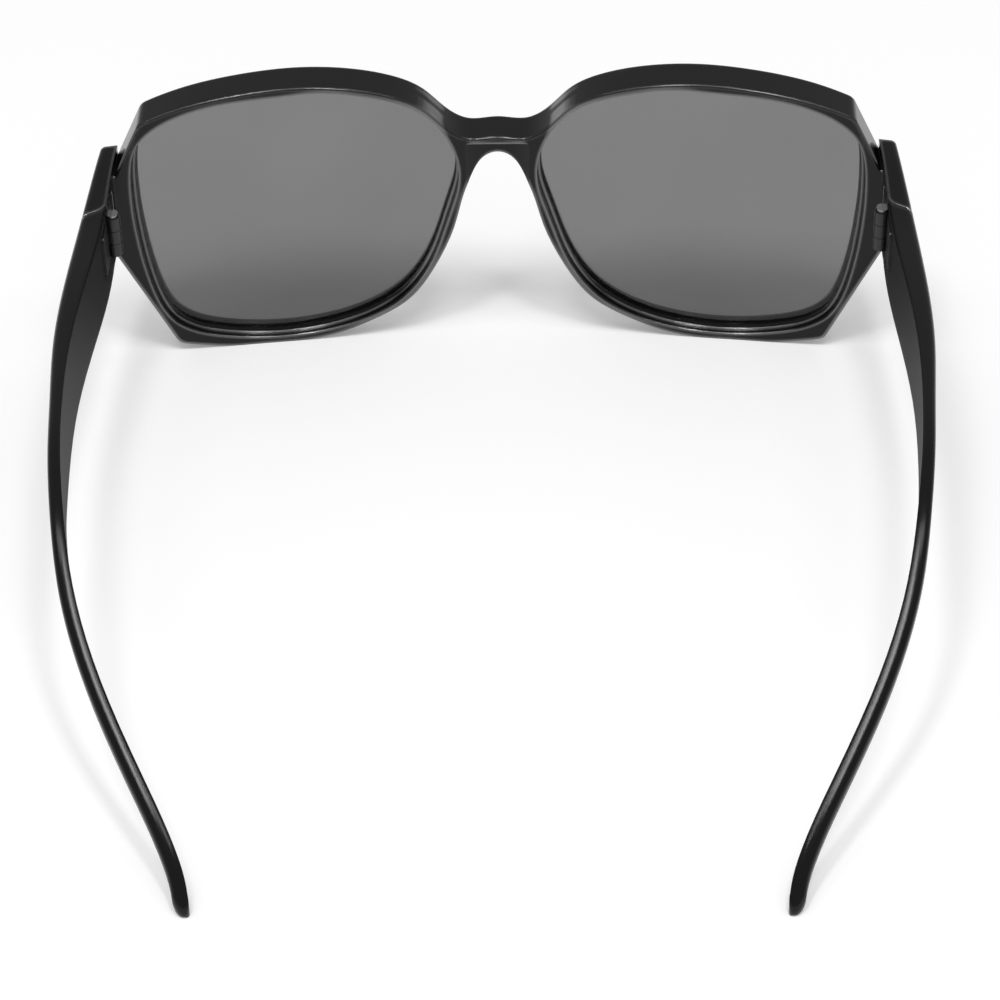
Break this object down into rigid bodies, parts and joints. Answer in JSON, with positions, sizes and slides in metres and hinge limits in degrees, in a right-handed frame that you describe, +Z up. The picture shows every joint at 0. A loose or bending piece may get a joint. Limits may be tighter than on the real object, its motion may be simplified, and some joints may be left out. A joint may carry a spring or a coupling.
{
  "type": "fitover sunglasses",
  "caption": "Oversized fitover sunglasses: deep-rimmed wrapped front with smoke lenses, a shallow pocket behind them for other glasses, and folding temples on metal hinges.",
  "frame": {"origin": "on the table, under the middle of the open glasses: halfway across, and halfway from the front of the brow to the temple tips", "axes": "+X towards the wearer's left, +Y to the back, from the lenses to the temple tips, +Z up; the glasses stand open as put down on a table, on the two rims and the temple tips"},
  "size_m": [0.153, 0.1583, 0.058],
  "materials": {
    "frame_plastic": "semi-gloss moulded black",
    "lens_tint": "neutral smoke tint, polished",
    "hinge_metal": "black coated steel",
    "screw_metal": "plain steel"
  },
  "bodies": {
    "front": {"front_frame": "frame_plastic", "left_lens": "lens_tint", "right_lens": "lens_tint", "left_front_hinge_leaf": "hinge_metal", "right_front_hinge_leaf": "hinge_metal", "left_hinge_screw": "screw_metal", "right_hinge_screw": "screw_metal"},
    "left_temple": {"left_temple": "frame_plastic", "left_temple_hinge_leaf": "hinge_metal"},
    "right_temple": {"right_temple": "frame_plastic", "right_temple_hinge_leaf": "hinge_metal"}
  },
  "joints": [
    {"name": "left_temple_fold", "type": "hinge", "parent": "front", "child": "left_temple", "pos_m": [0.06995, -0.05595, 0.0362], "axis": [0, 0, 1], "range_deg": [0, 82]},
    {"name": "right_temple_fold", "type": "hinge", "parent": "front", "child": "right_temple", "pos_m": [-0.06995, -0.05595, 0.0362], "axis": [0, 0, -1], "range_deg": [0, 76]}
  ]
}
